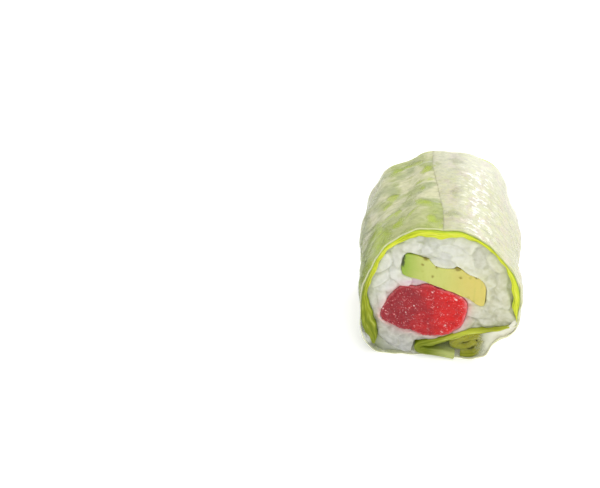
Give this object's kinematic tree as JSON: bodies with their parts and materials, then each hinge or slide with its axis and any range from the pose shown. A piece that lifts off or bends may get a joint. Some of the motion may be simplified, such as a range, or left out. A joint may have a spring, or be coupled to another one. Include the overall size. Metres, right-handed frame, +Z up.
{
  "type": "sliced rice paper roll",
  "caption": "Cut piece of rice paper roll on its side: soft clear wrapper, lettuce, sticky rice, raw tuna block and avocado slice seen at both cuts.",
  "frame": {"origin": "middle of the box's underside, on the surface the piece lies on", "axes": "+Z up; Y along the roll, with the front cut at -Y and the back cut at +Y; +X to the right seen from the front cut"},
  "size_m": [0.0412, 0.0389, 0.0409],
  "materials": {
    "rice_paper": "wet translucent film, creased, the lettuce showing through",
    "lettuce": "waxy leaf, bright yellow-green with paler veins",
    "rice": "sticky cooked grains, moist and slightly translucent",
    "tuna": "moist raw fish, granular deep red",
    "avocado": "buttery flesh, lime green at one end to yellow at the other"
  },
  "bodies": {
    "root": {"rice_paper": "rice_paper", "lettuce_outer": "lettuce", "lettuce_under": "lettuce", "lettuce_pocket": "lettuce", "rice": "rice", "tuna": "tuna", "avocado": "avocado"}
  },
  "joints": []
}
